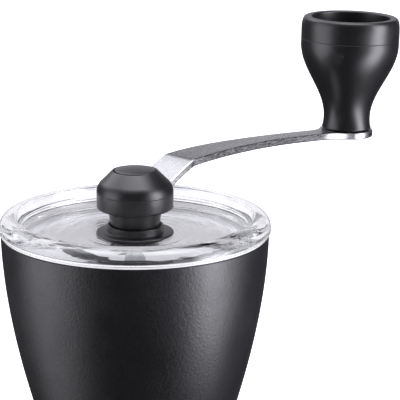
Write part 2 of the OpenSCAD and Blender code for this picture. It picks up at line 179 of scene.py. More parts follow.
# Brushing along X: long thin streaks and a few deeper hairlines
def makeBrush():
    group, t, g, out = newGroup("brushedBar", [
        ("Vector", vectorSocket, None), ("Line Width", floatSocket, 0.00012),
        ("Line Length", floatSocket, 0.004)],
        [("Height", floatSocket), ("Streaks", floatSocket), ("Scratches", floatSocket)])
    parts = t.add("ShaderNodeSeparateXYZ", {0: g["Vector"]}).outputs
    across = t.math("DIVIDE", 1.0, g["Line Width"])
    along = t.math("DIVIDE", 1.0, g["Line Length"])
    stretched = t.add("ShaderNodeCombineXYZ", {0: t.math("MULTIPLY", parts[0], along),
                                               1: t.math("MULTIPLY", parts[1], across),
                                               2: t.math("MULTIPLY", parts[2], across)}).outputs[0]
    lines = t.noise(stretched, 1.0, 3.0, 0.65)
    t.tree.links.new(lines, out.inputs["Height"])
    t.tree.links.new(t.ramp(lines, 0.3, 0.7, 0.0, 1.0), out.inputs["Streaks"])
    t.tree.links.new(t.ramp(t.noise(stretched, 0.31, 2.0, 0.5), 0.66, 0.74, 0.0, 1.0),
                     out.inputs["Scratches"])
    return group


# Handling marks: soft uneven patches that raise the roughness, and a few dust specks
def makeSmudge():
    group, t, g, out = newGroup("handling", [
        ("Vector", vectorSocket, None), ("Patch Size", floatSocket, 0.012),
        ("Speck Size", floatSocket, 0.0006)],
        [("Smudge", floatSocket), ("Dust", floatSocket)])
    patches = t.noise(g["Vector"], t.math("DIVIDE", 1.0, g["Patch Size"]), 5.0, 0.6)
    t.tree.links.new(t.ramp(patches, 0.42, 0.68, 0.0, 1.0), out.inputs["Smudge"])
    specks = t.noise(g["Vector"], t.math("DIVIDE", 1.0, g["Speck Size"]), 1.0, 0.5)
    t.tree.links.new(t.ramp(specks, 0.70, 0.78, 0.0, 1.0), out.inputs["Dust"])
    return group


grainGroup, ringsGroup, brushGroup, smudgeGroup = makeGrain(), makeRings(), makeBrush(), makeSmudge()


# Materials

# A material with a Principled shader; sockets are plain numbers set on it directly
def startMaterial(name, **sockets):
    material = bpy.data.materials.new(name)
    material.use_nodes = True
    t = Tree(material.node_tree)
    t.shader = material.node_tree.nodes["Principled BSDF"]
    t.coords = t.add("ShaderNodeTexCoord").outputs["Object"]
    for label, value in sockets.items():
        t.shader.inputs[label.replace("_", " ")].default_value = value
    return material, t


def placeGroup(t, group, ins):
    node = t.add("ShaderNodeGroup", node_tree=group)
    for key, value in ins.items():
        if isinstance(value, bpy.types.NodeSocket):
            t.tree.links.new(value, node.inputs[key])
        else:
            node.inputs[key].default_value = value
    return node.outputs


def mixColour(t, factor, a, b):
    node = t.add("ShaderNodeMix", data_type="RGBA")
    t.tree.links.new(factor, node.inputs[0])
    for index, value in ((6, a), (7, b)):
        if isinstance(value, bpy.types.NodeSocket):
            t.tree.links.new(value, node.inputs[index])
        else:
            node.inputs[index].default_value = (*value, 1.0)
    return node.outputs[2]


def bump(t, height, depth):
    return t.add("ShaderNodeBump", {"Height": height, "Distance": depth, "Strength": 1.0}).outputs[0]


# Moulded plastic, rubber or ceramic: grain, speckle, smudges and a trace of dust
def grained(name, dark, light, rough, grain, depth, spread=0.06, dust=0.04, **sockets):
    material, t = startMaterial(name, **sockets)
    g = placeGroup(t, grainGroup, {"Vector": t.coords, "Grain Size": grain})
    s = placeGroup(t, smudgeGroup, {"Vector": t.coords})
    tint = mixColour(t, g["Speckle"], dark, light)
    dusty = tuple(0.5 * (c + 0.5) for c in light)
    tint = mixColour(t, t.math("MULTIPLY", s["Dust"], dust), tint, dusty)
    t.tree.links.new(tint, t.shader.inputs["Base Color"])
    uneven = t.math("MULTIPLY", g["Patches"], spread)
    uneven = t.math("ADD", uneven, t.math("MULTIPLY", s["Smudge"], spread))
    t.tree.links.new(t.math("ADD", uneven, rough), t.shader.inputs["Roughness"])
    t.tree.links.new(bump(t, g["Height"], depth), t.shader.inputs["Normal"])
    return material


# Metal turned on a lathe
def turned(name, dark, light, rough, ring, depth):
    material, t = startMaterial(name, Metallic=1.0)
    r = placeGroup(t, ringsGroup, {"Vector": t.coords, "Ring Size": ring})
    s = placeGroup(t, smudgeGroup, {"Vector": t.coords})
    t.tree.links.new(mixColour(t, r["Streaks"], dark, light), t.shader.inputs["Base Color"])
    t.tree.links.new(t.math("ADD", t.math("MULTIPLY", s["Smudge"], 0.1), rough), t.shader.inputs["Roughness"])
    t.tree.links.new(bump(t, r["Height"], depth), t.shader.inputs["Normal"])
    return material


# Stainless bar, brushed along its length
def brushed(name, dark, light, rough, depth):
    material, t = startMaterial(name, Metallic=1.0, Anisotropic=0.3)
    b = placeGroup(t, brushGroup, {"Vector": t.coords})
    s = placeGroup(t, smudgeGroup, {"Vector": t.coords, "Patch Size": 0.02})
    tint = mixColour(t, b["Streaks"], dark, light)
    tint = mixColour(t, t.math("MULTIPLY", b["Scratches"], 0.35), tint, (0.9, 0.9, 0.9))
    t.tree.links.new(tint, t.shader.inputs["Base Color"])
    uneven = t.math("ADD", t.math("MULTIPLY", b["Streaks"], 0.12), t.math("MULTIPLY", s["Smudge"], 0.05))
    t.tree.links.new(t.math("ADD", uneven, rough), t.shader.inputs["Roughness"])
    t.tree.links.new(bump(t, b["Height"], depth), t.shader.inputs["Normal"])
    return material


# Clear plastic or glass, with faint smears and rings left by the mould, and painted shade darkening its
# outline
def clear(name, tint, rough, ior, smear, ring, depth):
    material, t = startMaterial(name, Transmission_Weight=1.0, IOR=ior)
    # Painted shade: the colour darkens where the surface turns away from the camera
    facing = t.add("ShaderNodeLayerWeight", {"Blend": 0.5}).outputs["Facing"]
    edge = t.ramp(facing, 0.80, 0.97, 0.0, 1.0)   # the outline of clear stock looks grey
    tint = mixColour(t, edge, tint, tuple(0.62 * c for c in tint))
    t.tree.links.new(tint, t.shader.inputs["Base Color"])
    s = placeGroup(t, smudgeGroup, {"Vector": t.coords, "Patch Size": 0.015})
    t.tree.links.new(t.math("ADD", t.math("MULTIPLY", s["Smudge"], smear), rough),
                     t.shader.inputs["Roughness"])
    rings = placeGroup(t, ringsGroup, {"Vector": t.coords, "Ring Size": ring})
    t.tree.links.new(bump(t, rings["Height"], depth), t.shader.inputs["Normal"])
    return material


mats = {
    "shell_black": grained("softTouchBlack", (0.004, 0.004, 0.005), (0.013, 0.013, 0.0155), 0.35,
                           0.0008, 0.00012),
    "hub_black": grained("satinBlackHub", (0.008, 0.008, 0.009), (0.013, 0.013, 0.0145), 0.32,
                         0.0004, 0.000012, Specular_IOR_Level=0.5),
    "knob_black": grained("satinBlackKnob", (0.008, 0.008, 0.009), (0.013, 0.013, 0.0145), 0.30,
                          0.0004, 0.000012),
    "disc_black": grained("satinDisc", (0.02, 0.02, 0.022), (0.03, 0.03, 0.033), 0.3, 0.0004, 0.00001),
    "bridge_black": grained("mouldedBlack", (0.015, 0.015, 0.017), (0.03, 0.03, 0.032), 0.45,
                            0.0005, 0.00003),
    "holder_black": grained("ribbedBlack", (0.018, 0.018, 0.02), (0.032, 0.032, 0.034), 0.5, 0.0005, 0.00003),
    "nut_black": grained("nutBlack", (0.015, 0.015, 0.016), (0.03, 0.03, 0.031), 0.42, 0.0004, 0.00003),
    "foot_silicone": grained("silicone", (0.022, 0.022, 0.024), (0.034, 0.034, 0.036), 0.62, 0.0005, 0.00004,
                             dust=0.12),
    "seal_silicone": grained("naturalSilicone", (0.62, 0.62, 0.60), (0.74, 0.74, 0.72), 0.5, 0.0006, 0.00002),
    # The bowl gets a faint painted glow (emission) that stands in for daylight reaching it through the clear
    # lid
    "bowl_white": grained("frostedBowlPaintedGlow", (0.84, 0.84, 0.83), (0.90, 0.90, 0.89), 0.35, 0.0006, 0.00001,
                          dust=0.0, Emission_Strength=0.38, Emission_Color=(0.95, 0.95, 1, 1)),
    "bush_nylon": grained("naturalNylon", (0.70, 0.69, 0.63), (0.80, 0.79, 0.73), 0.42, 0.0006, 0.00002),
    "burr_ceramic": grained("sinteredCeramic", (0.80, 0.79, 0.74), (0.90, 0.89, 0.84), 0.32, 0.0004, 0.00003,
                            Coat_Weight=0.2),
    "shaft_steel": turned("turnedSteel", (0.42, 0.43, 0.44), (0.58, 0.59, 0.60), 0.24, 0.0002, 0.00001),
    "screw_steel": turned("screwSteel", (0.50, 0.50, 0.51), (0.66, 0.66, 0.67), 0.22, 0.0002, 0.00001),
    "spring_steel": turned("springSteel", (0.38, 0.39, 0.40), (0.55, 0.56, 0.57), 0.28, 0.0003, 0.00001),
    "arm_steel": brushed("brushedArm", (0.12, 0.12, 0.123), (0.42, 0.42, 0.425), 0.19, 0.00001),
    "lid_clear": clear("clearAcrylic", (0.94, 0.94, 0.955), 0.012, 1.49, 0.02, 0.0022, 0.0001),
    "jar_glass": clear("pressedGlass", (0.95, 0.98, 0.972), 0.01, 1.5, 0.02, 0.006, 0.0001),
}
print("materials made:", len(mats))


# Shape helpers

# Points on a round stretch of an outline, angles in degrees
def arc(cx, cy, r, start, end, count=10):
    angles = [math.radians(start + (end - start) * i / count) for i in range(count + 1)]
    return [(cx + r * math.cos(a), cy + r * math.sin(a)) for a in angles]


# Points on a cubic curve between a and d, drawn towards b and c
def curve(a, b, c, d, count=20):
    points = []
    for i in range(count + 1):
        t = i / count
        w = ((1 - t) ** 3, 3 * t * (1 - t) ** 2, 3 * t * t * (1 - t), t ** 3)
        points.append(tuple(sum(k * p[n] for k, p in zip(w, (a, b, c, d))) for n in (0, 1)))
    return points


# Drops points that repeat the one before
def tidyOutline(points):
    kept = []
    for p in points:
        if not kept or math.dist(p, kept[-1]) > 1e-4:
            kept.append(p)
    if math.dist(kept[0], kept[-1]) < 1e-4:
        kept.pop()
    return kept


def finishPiece(piece, material, body, nodes=(), sharp=32):
    for polygon in piece.data.polygons:
        polygon.use_smooth = True
    piece.data.set_sharp_from_angle(angle=math.radians(sharp))
    piece.data.materials.clear()
    piece.data.materials.append(mats[material])
    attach(piece, body)
    if nodes:
        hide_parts(*nodes)


def pieceFrom(name, verts, faces):
    mesh = bpy.data.meshes.new(name)
    mesh.from_pydata(verts, [], faces)
    mesh.validate()
    bm = bmesh.new()
    bm.from_mesh(mesh)
    bmesh.ops.remove_doubles(bm, verts=bm.verts, dist=1e-7)
    bmesh.ops.recalc_face_normals(bm, faces=bm.faces)
    bm.to_mesh(mesh)
    bm.free()
    piece = bpy.data.objects.new(name, mesh)
    bpy.context.collection.objects.link(piece)
    return piece


# Turns a closed outline of (radius, height) in millimetres round the Z axis
def lathe(name, outline, steps=160, turn=None):
    outline = tidyOutline(outline)
    verts, faces, rings = [], [], []
    for r, z in outline:
        if r < 1e-6:
            rings.append([len(verts)])
            verts.append((0.0, 0.0, z * mm))
        else:
            rings.append(list(range(len(verts), len(verts) + steps)))
            for k in range(steps):
                a = 2 * math.pi * k / steps
                verts.append((r * mm * math.cos(a), r * mm * math.sin(a), z * mm))
    for i in range(len(rings)):
        a, b = rings[i], rings[(i + 1) % len(rings)]
        if len(a) == 1 and len(b) == 1:
            continue
        for k in range(steps):
            n = (k + 1) % steps
            if len(a) == 1:
                faces.append((a[0], b[n], b[k]))
            elif len(b) == 1:
                faces.append((a[k], a[n], b[0]))
            else:
                faces.append((a[k], a[n], b[n], b[k]))
    if turn:
        verts = [tuple(turn @ Vector(v)) for v in verts]
    return pieceFrom(name, verts, faces)


# Geometry node trees

def nodeGroupFor(name, inputs):
    group = bpy.data.node_groups.new(name, "GeometryNodeTree")
    group.interface.new_socket("Geometry", in_out="OUTPUT", socket_type="NodeSocketGeometry")
    ids = {}
    for label, kind, value in inputs:
        socket = group.interface.new_socket(label, in_out="INPUT", socket_type=kind)
        if value is not None:
            socket.default_value = value
        ids[label] = socket.identifier
    t = Tree(group)
    return group, t, t.add("NodeGroupInput").outputs, ids


# Every tree ends by making its copies real and giving them their finish
def endTree(t, geometry, material):
    real = t.add("GeometryNodeRealizeInstances", {0: geometry}).outputs[0]
    finished = t.add("GeometryNodeSetMaterial", {0: real, "Material": material}).outputs[0]
    out = t.add("NodeGroupOutput")
    t.tree.links.new(finished, out.inputs[0])


# A round or flat-sided bar that climbs around the Z axis
def helixTree():
    group, t, g, ids = nodeGroupFor("climbingBar", [
        ("Radius", floatSocket, 0.03), ("Rise", floatSocket, 0.004), ("Turns", floatSocket, 1.0),
        ("Start Height", floatSocket, 0.0), ("Start Angle", floatSocket, 0.0),
        ("Bar Width", floatSocket, 0.001), ("Bar Height", floatSocket, 0.001),
        ("Sides", "NodeSocketInt", 8), ("Steps", "NodeSocketInt", 64),
        ("Material", "NodeSocketMaterial", None)])
    spiral = t.add("GeometryNodeCurveSpiral", {"Resolution": g["Steps"], "Rotations": g["Turns"],
                                               "Start Radius": g["Radius"], "End Radius": g["Radius"],
                                               "Height": g["Rise"], "Reverse": False}).outputs[0]
    ring = t.add("GeometryNodeCurvePrimitiveCircle", {"Resolution": g["Sides"], "Radius": 0.5}).outputs[0]
    size = t.add("ShaderNodeCombineXYZ", {0: g["Bar Width"], 1: g["Bar Height"], 2: 1.0}).outputs[0]
    ring = t.add("GeometryNodeTransform", {0: ring, "Scale": size}).outputs[0]
    level = t.add("GeometryNodeSetCurveNormal", {0: spiral}, mode="Z_UP").outputs[0]
    bar = t.add("GeometryNodeCurveToMesh", {0: level, 1: ring, "Fill Caps": True}).outputs[0]
    lift = t.add("ShaderNodeCombineXYZ", {0: 0.0, 1: 0.0, 2: g["Start Height"]}).outputs[0]
    spin = t.add("ShaderNodeCombineXYZ", {0: 0.0, 1: 0.0, 2: g["Start Angle"]}).outputs[0]
    bar = t.add("GeometryNodeTransform", {0: bar, "Translation": lift, "Rotation": spin}).outputs[0]
    endTree(t, bar, g["Material"])
    return group, ids


# Upright rounded ribs, evenly spaced on a circle
def ribTree():
    group, t, g, ids = nodeGroupFor("ribRing", [
        ("Radius", floatSocket, 0.01), ("Count", "NodeSocketInt", 12), ("Rib Radius", floatSocket, 0.0005),
        ("Rib Height", floatSocket, 0.004), ("Start Height", floatSocket, 0.0),
        ("Material", "NodeSocketMaterial", None)])
    ring = t.add("GeometryNodeCurvePrimitiveCircle",
                 {"Resolution": g["Count"], "Radius": g["Radius"]}).outputs[0]
    line = t.add("GeometryNodeMeshCylinder", {"Vertices": 10, "Side Segments": 1, "Radius": g["Rib Radius"],
                                              "Depth": g["Rib Height"]}).outputs[0]
    ribs = t.add("GeometryNodeInstanceOnPoints", {"Points": ring, "Instance": line}).outputs[0]
    lift = t.add("ShaderNodeCombineXYZ", {0: 0.0, 1: 0.0, 2: g["Start Height"]}).outputs[0]
    ribs = t.add("GeometryNodeTransform", {0: ribs, "Translation": lift}).outputs[0]
    endTree(t, ribs, g["Material"])
    return group, ids


# Runs a tree with these input values and returns its result as a plain mesh piece
def grow(name, treeAndIds, values, material):
    group, ids = treeAndIds
    holder = bpy.data.objects.new(name + "Maker", bpy.data.meshes.new(name + "Maker"))
    bpy.context.collection.objects.link(holder)
    modifier = holder.modifiers.new("grow", "NODES")
    modifier.node_group = group
    for label, value in values.items():
        modifier[ids[label]] = value
    modifier[ids["Material"]] = mats[material]
    holder.update_tag()
    graph = bpy.context.evaluated_depsgraph_get()
    graph.update()
    mesh = bpy.data.meshes.new_from_object(holder.evaluated_get(graph))
    bpy.data.objects.remove(holder, do_unlink=True)
    mesh.name = name
    piece = bpy.data.objects.new(name, mesh)
    bpy.context.collection.objects.link(piece)
    return piece


climbingBar, ribRing = helixTree(), ribTree()


# Jar, seal and foot

jarSettings = {
    "wall": 2.6, "neck": 36.2, "rim": 58.0, "foot": 43.2, "base": 2.6,
    "threadPitch": 4.0, "threadStart": 49.4,
}


def makeJar(s):
    foot, neck, wall, rim = s["foot"], s["neck"], s["wall"], s["rim"]
    outline = [(0, s["base"] + 0.9)]
    outline += curve((10, s["base"] + 0.9), (26, s["base"] + 0.9), (32, s["base"]),
                     (foot - 4.5, s["base"]), 8)
    outline += arc(foot - 3.5, s["base"] + 3.5, 3.5, -90, 0)
    outline += curve((foot, 12), (foot - 0.6, 24), (41.2, 32), (41.0, 38.6), 16)
    outline += curve((41.0, 38.6), (40.7, 41.4), (37.2, 41.4), (neck, 43.6), 12)
    outline += arc(neck - 0.8, rim - 0.8, 0.8, 0, 90, 6) + arc(neck - wall + 0.8, rim - 0.8, 0.8, 90, 180, 6)
    outline += curve((neck - wall, 44.4), (35.6, 41.2), (37.6, 41.6), (38.4, 38.2), 12)
    outline += curve((38.5, 36), (foot - wall - 0.8, 24), (foot - wall - 0.2, 18),
                     (foot - wall - 0.2, 12), 12)
    outline += arc(foot - wall - 3.4, 9.9, 3.2, 0, -90) + [(30, 6.75), (10, 7.2), (0, 7.3)]
    jar = lathe("jar_glass", outline, 192)
    finishPiece(jar, "jar_glass", "jar", ("jar",))
    thread = grow("jar_thread", climbingBar, {
        "Radius": (neck + 0.35) * mm, "Rise": 1.1 * s["threadPitch"] * mm, "Turns": 1.1,
        "Start Height": s["threadStart"] * mm, "Bar Width": 1.5 * mm, "Bar Height": 1.2 * mm,
        "Sides": 8, "Steps": 90}, "jar_glass")
    finishPiece(thread, "jar_glass", "jar")


makeJar(jarSettings)

footSettings = {"height": 7.2, "grooves": (2.6, 4.2), "groove": 0.3}


def makeFoot(s):
    r = jarSettings["foot"] + 0.05
    h = s["height"]
    outline = [(0, 0.4), (36, 0.4)] + arc(37, 0.4, 0.4, 180, 270, 4) + [(r + 0.4, 0)]
    outline += arc(r + 0.6, 1.2, 1.2, -90, 0, 8)
    for groove in s["grooves"]:
        outline += [(r + 1.8, groove - 0.5)] + arc(r + 1.8, groove, s["groove"], -90, -270, 6)
    outline += arc(r + 1.0, h - 0.8, 0.8, 0, 90, 6) + [(r, h), (r, 6.1)]
    outline += arc(r - 3.55, 6.1, 3.55, 0, -90, 8) + [(0, 2.55)]
    finishPiece(lathe("foot_cup", outline, 160), "foot_silicone", "jar", ("jar_foot",))


makeFoot(footSettings)
print("jar and foot made")


# Hopper

hopperSettings = {
    "radius": 45.45, "taper": 0.0087, "power": 1.727,   # the shell draws in ever faster below its rim
    "wall": 2.4, "skirt": 40.8, "skirtEdge": 46.0, "skirtBore": 38.0, "deck": 60.0, "brow": 2.8,
    "browTurn": 54.0, "burrBore": 22.75, "burrTop": 84.0, "throat": 19.5, "throatTop": 86.0,
    "cone": 98.0, "flange": 0.8, "threadStart": 47.4,
}


def shellAt(depth, s=hopperSettings):
    return s["radius"] - s["taper"] * max(depth, 0) ** s["power"]


def shellWall(inset, top, bottom, count):
    return [(shellAt(rimMm - z) - inset, z) for z in
            [top + (bottom - top) * i / count for i in range(count + 1)]]


def makeHopper(s):
    turn = math.radians(s["browTurn"])
    browZ = s["deck"] - 0.7
    browEnd = (s["skirt"] - s["brow"] * (1 - math.cos(turn)), browZ + s["brow"] * math.sin(turn))
    waistTop = rimMm - 56
    r = shellAt(56)
    top = rimMm - s["flange"] - 0.05
    outline = arc(s["radius"] - 0.42, top - 0.4, 0.4, 90, 0, 5)
    outline += shellWall(0, top - 0.5, waistTop, 40)
    outline += curve((r, waistTop), (r - 4.9, waistTop - 17),
                     (browEnd[0] - 14.3 * math.sin(turn), browEnd[1] + 14.3 * math.cos(turn)), browEnd, 40)
    outline += arc(s["skirt"] - s["brow"], browZ, s["brow"], s["browTurn"], 0, 10)
    outline += arc(s["skirt"] - 0.8, s["skirtEdge"] + 0.8, 0.8, 0, -90, 6)
    outline += arc(s["skirtBore"] + 0.4, s["skirtEdge"] + 0.4, 0.4, 270, 180, 3)
    outline += [(s["skirtBore"], s["deck"]), (s["burrBore"], s["deck"]), (s["burrBore"], s["burrTop"]),
                (s["throat"] + 1.8, s["burrTop"]), (s["throat"] + 1.8, s["throatTop"])]
    outline += shellWall(s["wall"], s["cone"], top, 24)
    finishPiece(lathe("hopper_case", outline, 224), "shell_black", "hopper", ("hopper_shell",))
    thread = grow("skirt_thread", climbingBar, {
        "Radius": (s["skirtBore"] - 0.25) * mm, "Rise": jarSettings["threadPitch"] * mm, "Turns": 1.0,
        "Start Height": s["threadStart"] * mm, "Bar Width": 1.5 * mm, "Bar Height": 1.2 * mm,
        "Sides": 8, "Steps": 80}, "shell_black")
    finishPiece(thread, "shell_black", "hopper")


makeHopper(hopperSettings)


def makeBowl(s):
    outer = s["wall"] + 0.3
    inner = outer + 1.4
    lip, under = s["radius"] - 0.25, rimMm - s["flange"]
    outline = arc(lip - 0.2, rimMm - 0.2, 0.2, 90, 0, 4) + [(lip, under + 0.1), (lip - 0.1, under)]
    outline += shellWall(outer, under, s["cone"] + 0.6, 30)
    outline += [(s["throat"] + 1.5, s["throatTop"]), (s["throat"] + 1.5, s["burrTop"]),
                (s["throat"], s["burrTop"]), (s["throat"], s["throatTop"] + 0.6)]
    outline += shellWall(inner, s["cone"] + 1.6, rimMm - 0.6, 30)
    outline += arc(s["radius"] - inner + 0.5, rimMm - 0.5, 0.5, 180, 90, 5)
    finishPiece(lathe("bean_bowl_wall", outline, 160), "bowl_white", "hopper", ("bean_bowl",))


makeBowl(hopperSettings)
print("hopper made")


# Lid and bush

lidSettings = {"radius": 46.0, "floor": -1.3, "floorWall": 2.0, "hole": 7.25}


def makeLid(s):
    r, z = s["radius"], rimMm
    outline = [(s["hole"], z + s["floor"]), (s["hole"], z + s["floor"] - s["floorWall"]),
               (38, z + s["floor"] - s["floorWall"])]
    outline += arc(38.7, z - 5.6, 0.4, 180, 270, 4) + arc(39.8, z - 5.6, 0.4, -90, 0, 4)
    outline += [(40.2, z)] + arc(r - 0.35, z + 0.35, 0.35, -90, 0, 4)
    outline += curve((r, z + 1.9), (r - 0.1, z + 4.1), (r - 2.6, z + 5.55), (r - 4.6, z + 5.6), 16)
    outline += arc(40.85, z + 5.05, 0.6, 100, 175, 6)
    outline += [(39.6, z + 2.6)] + arc(39.0, z + 1.9, 0.5, 60, 150, 4)
    outline += [(38.45, z - 0.6), (37.9, z + s["floor"])]
    finishPiece(lathe("clear_lid", outline, 224), "lid_clear", "lid", ("lid",))


makeLid(lidSettings)


bushSettings = {"bore": 5.0, "tube": 7.2, "flange": 12.75, "collar": 8.75, "deck": -0.4}


def makeBush(s):
    z, tube, flange, collar = rimMm, s["tube"], s["flange"], s["collar"]
    outline = [(s["bore"], z - 5.2)] + arc(tube - 0.2, z - 5.0, 0.2, -90, 0, 3)
    outline += [(tube, z + lidSettings["floor"]), (flange, z + lidSettings["floor"])]
    outline += arc(flange, z - 0.85, 0.4, -90, 90, 8) + [(collar + 1.15, z - 0.45)]
    outline += arc(collar + 1.15, z - 0.15, 0.3, 270, 180, 4) + arc(collar + 0.5, z + 1.65, 0.35, 0, 90, 6)
    outline += arc(collar + 0.25, z + 1.75, 0.25, 90, 180, 4)
    outline += [(collar, z + s["deck"]), (s["bore"], z + s["deck"])]
    finishPiece(lathe("lid_flange", outline, 128), "hub_black", "bush", ("lid_bush",))


makeBush(bushSettings)
print("lid made")


# Crank

hubSettings = {"radius": 13.0, "seam": 13.0, "shoulder": 5.0, "shoulderTurn": 52.0, "recess": 19.1}


def makeHub(s):
    z, r, seam, floor = rimMm, s["radius"], rimMm + s["seam"], rimMm + s["recess"]
    neck = [(0, z - 0.35), (7.7, z - 0.35)] + arc(7.9, z - 0.15, 0.2, -90, 0, 4)
    neck += [(9.05, z + 7.2), (9.4, z + 7.5)]
    band = arc(r - 1, z + 8.5, 1, -90, 0, 8) + [(r, seam - 0.12), (r - 0.12, seam), (0, seam)]
    finishPiece(lathe("hub_lower", neck + band, 128), "hub_black", "crank", ("crank_hub",))
    cap = [(0, seam), (r - 0.12, seam), (r, seam + 0.12)]
    cap += arc(r - s["shoulder"], seam + 0.3, s["shoulder"], 0, s["shoulderTurn"], 14)
    cap += arc(7.6, z + 20.35, 0.3, 48, 150, 5) + [(7.25, z + 20.0), (7.25, floor), (0, floor)]
    finishPiece(lathe("hub_dome", cap, 128), "hub_black", "crank", ("hub_cap", "hub_screw"))
    disc = [(0, floor), (6.95, floor)] + arc(6.7, floor + 1.5, 0.25, 0, 70, 4)
    disc += [(x, floor + 1.8 + 0.74 * (1 - x * x / 46)) for x in (6.0, 5.0, 4.0, 3.0, 2.0, 1.0, 0.0)]
    finishPiece(lathe("dome_disc", disc, 128), "disc_black", "crank", ("cap_disc",))


makeHub(hubSettings)

armSettings = {
    "reach": 112.0, "thickness": 2.5, "boss": 17.2, "bossRadius": 9.9, "tilt": 1.8,
    "rootHalf": 6.7, "midHalf": 4.1, "fillet": 22.0, "root": 15.5, "crease": (21.7, 21.65), "edge": 0.35,
    "narrows": (14.0, 66.0),   # where the bar starts to narrow, and over what length
}


# Middle line of the arm's top face as (x, height above the rim)
def armTopAt(s):
    line = [(5, s["root"])] + curve((8.6, s["root"]), (11, s["root"] + 0.7), (16, 19.6), s["crease"], 24)
    line += curve(s["crease"], (33, 22.5), (58, 22.6), (s["reach"] - 9, s["boss"] + 0.45), 80)[1:]
    slope = math.tan(math.radians(s["tilt"]))
    return line + [(s["reach"] - 5, s["boss"] + 5 * slope), (s["reach"] + 10, s["boss"] - 10 * slope)]


def lerpLine(line, x):
    for (x0, z0), (x1, z1) in zip(line, line[1:]):
        if x <= x1:
            t = (x - x0) / (x1 - x0)
            return z0 + (z1 - z0) * t, (z1 - z0) / (x1 - x0)
    return line[-1][1], 0.0


# One long edge of the arm in plan, from the root to the tip of the round end
def armEdge(s):
    side = s["midHalf"] + s["fillet"]
    filletX = s["reach"] - math.sqrt((s["bossRadius"] + s["fillet"]) ** 2 - side ** 2)
    meet = math.degrees(math.atan2(side, s["reach"] - filletX))
    start, run = s["narrows"]
    edge = [(5 + 0.75 * i, s["rootHalf"]) for i in range(12)]
    step = run / 60
    for i in range(61):
        x = start + i * step
        swing = (1 + math.cos(math.pi * (x - start) / run)) / 2
        edge.append((x, s["midHalf"] + (s["rootHalf"] - s["midHalf"]) * swing))
    edge += arc(filletX, side, s["fillet"], -90, -meet, 14)
    edge += arc(s["reach"], 0, s["bossRadius"], 180 - meet, 0, 40)[1:]
    return tidyOutline(edge)


def makeArm(s):
    line, edge, e = armTopAt(s), armEdge(s), s["edge"]
    count = len(edge)
    inset = []
    for i, (x, y) in enumerate(edge):
        if i == count - 1:
            inset.append((x - e, 0.0))
            continue
        a, b = edge[max(i - 1, 0)], edge[i + 1]
        d = math.dist(a, b)
        inset.append((x + (b[1] - a[1]) / d * e, y - (b[0] - a[0]) / d * e))
    verts, faces = [], []

    def point(x, y, depth):
        z, slope = lerpLine(line, x)
        n = math.sqrt(1 + slope * slope)
        verts.append(((x + depth * slope / n) * mm, y * mm, (rimMm + z - depth / n) * mm))
        return len(verts) - 1

    loops = []
    around = [(inset, 0.0), ("mid", 0.12), (edge, e), (edge, s["thickness"] - e),
              ("mid", s["thickness"] - 0.12), (inset, s["thickness"])]
    for outline, depth in around:
        if outline == "mid":
            outline = [((a[0] * 0.3 + b[0] * 0.7), (a[1] * 0.3 + b[1] * 0.7)) for a, b in zip(inset, edge)]
        left = [point(x, y, depth) for x, y in outline[:-1]]
        tip = point(*outline[-1], depth)
        right = [point(x, -y, depth) for x, y in outline[:-1]]
        loops.append(left + [tip] + right[::-1])
    size = len(loops[0])
    for a, b in zip(loops, loops[1:]):
        faces += [(a[i], a[i + 1], b[i + 1], b[i]) for i in range(size - 1)]
        faces.append((a[size - 1], a[0], b[0], b[size - 1]))
    for loop in (loops[0], loops[-1]):
        for i in range((size - 1) // 2 - 1):
            faces.append((loop[i], loop[i + 1], loop[size - 2 - i], loop[size - 1 - i]))
        middle = (size - 1) // 2
        faces.append((loop[middle - 1], loop[middle], loop[middle + 1]))
    arm = pieceFrom("crank_bar", verts, faces)
    finishPiece(arm, "arm_steel", "crank", ("crank_arm",), 24)


makeArm(armSettings)
print("crank made")


# Knob

knobSettings = {
    "washer": 0.4, "part": 33.6, "height": 41.7, "floor": 13.0, "socket": 29.4, "bore": 2.55,
    "neck": 8.65, "lip": 18.2, "cup": 14.4, "wall": 2.4, "bellFoot": 4.2, "bellRise": 27.5,
}
leaning = (Matrix.Translation((armSettings["reach"] * mm, 0, (rimMm + armSettings["boss"]) * mm))
           @ Matrix.Rotation(math.radians(armSettings["tilt"]), 4, "Y"))


def bell(h, s=knobSettings):
    swing = (1 - math.cos(math.pi * min((h - s["bellFoot"]) / s["bellRise"], 1))) / 2
    return s["neck"] + (s["lip"] - s["neck"]) * swing


def makeKnob(s):
    w, neck, lip, cup, foot = s["washer"], s["neck"], s["lip"], s["cup"], s["bellFoot"]
    part, socket = s["part"] + w, s["socket"] + w
    outline = [(s["bore"], w), (neck + 0.05, w)] + arc(neck + 0.1, w + 0.4, 0.4, -90, 0, 5)
    outline += [(neck + 0.5 * ((foot - h) / foot) ** 2, h + w) for h in (1.0, 2.0, 3.0, 4.0)]
    outline += [(bell(h), h + w) for h in range(5, 34)]
    outline += [(lip, part - 0.12), (lip - 0.12, part), (15.6, part), (15.6, socket)]
    outline += [(min(bell(s["socket"] - 0.75 * i) - s["wall"], cup), socket - 0.75 * i) for i in range(18)]
    outline += curve((7.9, 15.0 + w), (7.3, 13.8 + w), (6.8, s["floor"] + w), (5.5, s["floor"] + w), 8)
    outline += [(s["bore"], s["floor"] + w)]
    finishPiece(lathe("knob_bell", outline, 144, leaning), "knob_black", "knob", ("knob",))
    top = s["height"] + w
    sleeve = [(15.55, socket + 0.05), (15.55, part), (lip - 0.12, part), (lip, part + 0.12)]
    sleeve += curve((lip, 37 + w), (lip, 39.8 + w), (17.7, top), (16.6, top), 12)
    sleeve += arc(15.2, top - 0.7, 0.7, 90, 180, 8) + [(cup, 37 + w), (cup, socket + 0.05)]
    finishPiece(lathe("knob_lip", sleeve, 144, leaning), "knob_black", "knob", ("knob_sleeve",))


makeKnob(knobSettings)
print("knob made")


# Spring and grind nut

